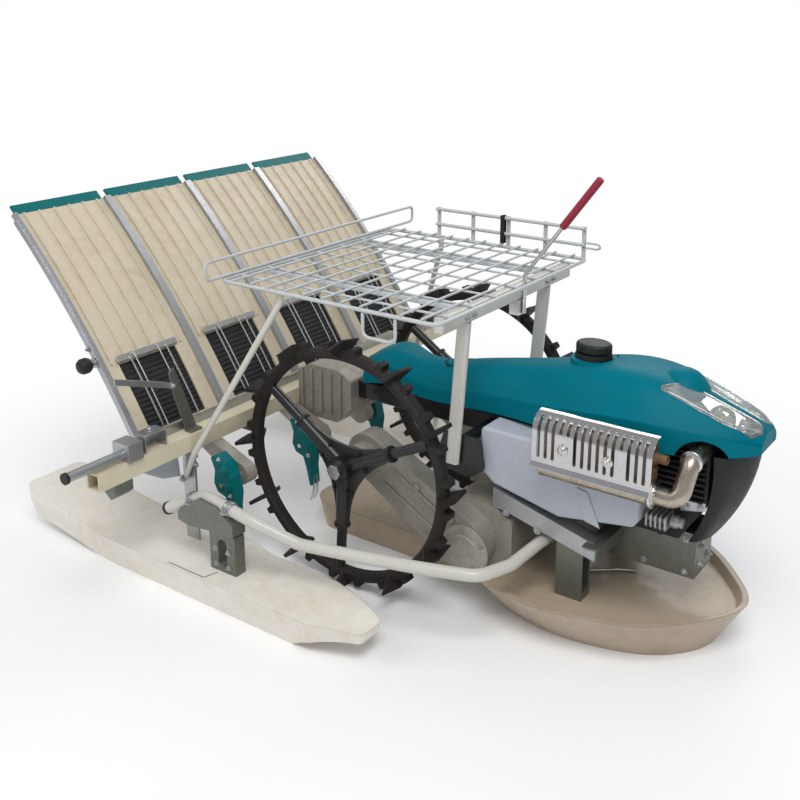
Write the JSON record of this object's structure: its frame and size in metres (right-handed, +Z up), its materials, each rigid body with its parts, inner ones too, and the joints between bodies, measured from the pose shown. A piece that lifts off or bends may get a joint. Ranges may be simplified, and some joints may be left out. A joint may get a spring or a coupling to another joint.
{
  "type": "walk-behind rice transplanter",
  "caption": "Walk-behind rice transplanter with two lugged wheels, skid floats, a sloped sliding seedling table, planting arms, a wire rack and an engine under a pointed hood.",
  "frame": {"origin": "on the ground, under the middle of the machine's length and width", "axes": "+X forward along the direction of travel, +Y to the machine's left, +Z up"},
  "size_m": [2.138, 1.712, 1.0533],
  "materials": {
    "wheel_rubber": "matte",
    "wheel_steel": "satin",
    "steel": "machined",
    "zinc_steel": "zinc plated",
    "frame_grey": "satin",
    "cast_alloy": "as cast",
    "engine_dark": "matte",
    "hood_teal": "glossy",
    "lens_clear": "clear",
    "black_plastic": "textured",
    "cap_black": "satin",
    "cover_grey": "satin",
    "muffler_steel": "heat dulled",
    "shield_chrome": "bright",
    "float_cream": "moulded",
    "tray_cream": "satin",
    "divider_grey": "satin",
    "arm_teal": "gloss",
    "belt_rubber": "ribbed",
    "guard_white": "gloss",
    "grip_red": "satin",
    "grip_black": "matte",
    "rack_black": "satin"
  },
  "bodies": {
    "chassis": {"swing_cases": "rack_black", "main_frame": "rack_black", "transmission_case": "cast_alloy", "engine_bed": "zinc_steel", "engine_block": "engine_dark", "hood": "hood_teal", "headlamps": "lens_clear", "nose_grille": "black_plastic", "fuel_cap": "cap_black", "side_cover": "cover_grey", "recoil_starter": "black_plastic", "muffler_body": "muffler_steel", "muffler_shield": "shield_chrome", "exhaust_elbow": "muffler_steel", "front_stays": "zinc_steel", "float_brackets": "zinc_steel", "centre_float": "float_cream", "side_floats": "float_cream", "planting_beam": "frame_grey", "rear_gearcase": "cast_alloy", "feed_ends": "zinc_steel", "tray_rail": "zinc_steel", "tray_supports": "rack_black", "side_guards": "guard_white", "tube_plugs": "cap_black", "float_posts": "zinc_steel", "rack_brackets": "rack_black", "rack_beam": "guard_white", "rack_legs": "guard_white", "rack_rails": "guard_white", "rack_wires_long": "guard_white", "rack_wires_cross": "guard_white", "rack_frame": "guard_white", "rack_guards": "guard_white", "lever_rod": "steel", "lever_grip": "grip_red", "planting_cases": "cast_alloy", "handles": "frame_grey", "handle_grips": "grip_black"},
    "wheel_right": {"wheel_ring_right": "wheel_rubber", "wheel_spokes_right": "wheel_steel", "wheel_axle_right": "steel"},
    "wheel_left": {"wheel_ring_left": "wheel_rubber", "wheel_spokes_left": "wheel_steel", "wheel_axle_left": "steel"},
    "seedling_table": {"tray_deck": "tray_cream", "tray_dividers": "divider_grey", "tray_flaps": "hood_teal", "feed_belts": "belt_rubber", "belt_guides": "steel"},
    "crank_body_1": {"crank_1": "steel"},
    "arm_body_1": {"planting_arm_1": "arm_teal"},
    "crank_body_2": {"crank_2": "steel"},
    "arm_body_2": {"planting_arm_2": "arm_teal"},
    "crank_body_3": {"crank_3": "steel"},
    "arm_body_3": {"planting_arm_3": "arm_teal"},
    "crank_body_4": {"crank_4": "steel"},
    "arm_body_4": {"planting_arm_4": "arm_teal"}
  },
  "joints": [
    {"name": "wheel_right_spin", "type": "hinge", "parent": "chassis", "child": "wheel_right", "pos_m": [0.131, -0.312, 0.33], "axis": [0, 1, 0], "continuous": true},
    {"name": "wheel_left_spin", "type": "hinge", "parent": "chassis", "child": "wheel_left", "pos_m": [0.131, 0.312, 0.33], "axis": [0, 1, 0], "continuous": true},
    {"name": "seedling_table_slide", "type": "slide", "parent": "chassis", "child": "seedling_table", "axis": [0, 1, 0], "range_m": [-0.14, 0.14]},
    {"name": "crank_1_turn", "type": "hinge", "parent": "chassis", "child": "crank_body_1", "pos_m": [-0.132, -0.45, 0.275], "axis": [0, 1, 0], "continuous": true},
    {"name": "arm_1_swing", "type": "hinge", "parent": "crank_body_1", "child": "arm_body_1", "pos_m": [-0.14614, -0.45, 0.26086], "axis": [0, 1, 0], "continuous": true},
    {"name": "crank_2_turn", "type": "hinge", "parent": "chassis", "child": "crank_body_2", "pos_m": [-0.132, -0.15, 0.275], "axis": [0, 1, 0], "continuous": true},
    {"name": "arm_2_swing", "type": "hinge", "parent": "crank_body_2", "child": "arm_body_2", "pos_m": [-0.14614, -0.15, 0.26086], "axis": [0, 1, 0], "continuous": true},
    {"name": "crank_3_turn", "type": "hinge", "parent": "chassis", "child": "crank_body_3", "pos_m": [-0.132, 0.15, 0.275], "axis": [0, 1, 0], "continuous": true},
    {"name": "arm_3_swing", "type": "hinge", "parent": "crank_body_3", "child": "arm_body_3", "pos_m": [-0.14614, 0.15, 0.26086], "axis": [0, 1, 0], "continuous": true},
    {"name": "crank_4_turn", "type": "hinge", "parent": "chassis", "child": "crank_body_4", "pos_m": [-0.132, 0.45, 0.275], "axis": [0, 1, 0], "continuous": true},
    {"name": "arm_4_swing", "type": "hinge", "parent": "crank_body_4", "child": "arm_body_4", "pos_m": [-0.14614, 0.45, 0.26086], "axis": [0, 1, 0], "continuous": true}
  ],
  "couplings": [
    {"joint": "arm_1_swing", "follows": "crank_1_turn", "ratio": -1},
    {"joint": "crank_2_turn", "follows": "crank_1_turn", "ratio": 1},
    {"joint": "arm_2_swing", "follows": "crank_1_turn", "ratio": -1},
    {"joint": "crank_3_turn", "follows": "crank_1_turn", "ratio": 1},
    {"joint": "arm_3_swing", "follows": "crank_1_turn", "ratio": -1},
    {"joint": "crank_4_turn", "follows": "crank_1_turn", "ratio": 1},
    {"joint": "arm_4_swing", "follows": "crank_1_turn", "ratio": -1}
  ]
}
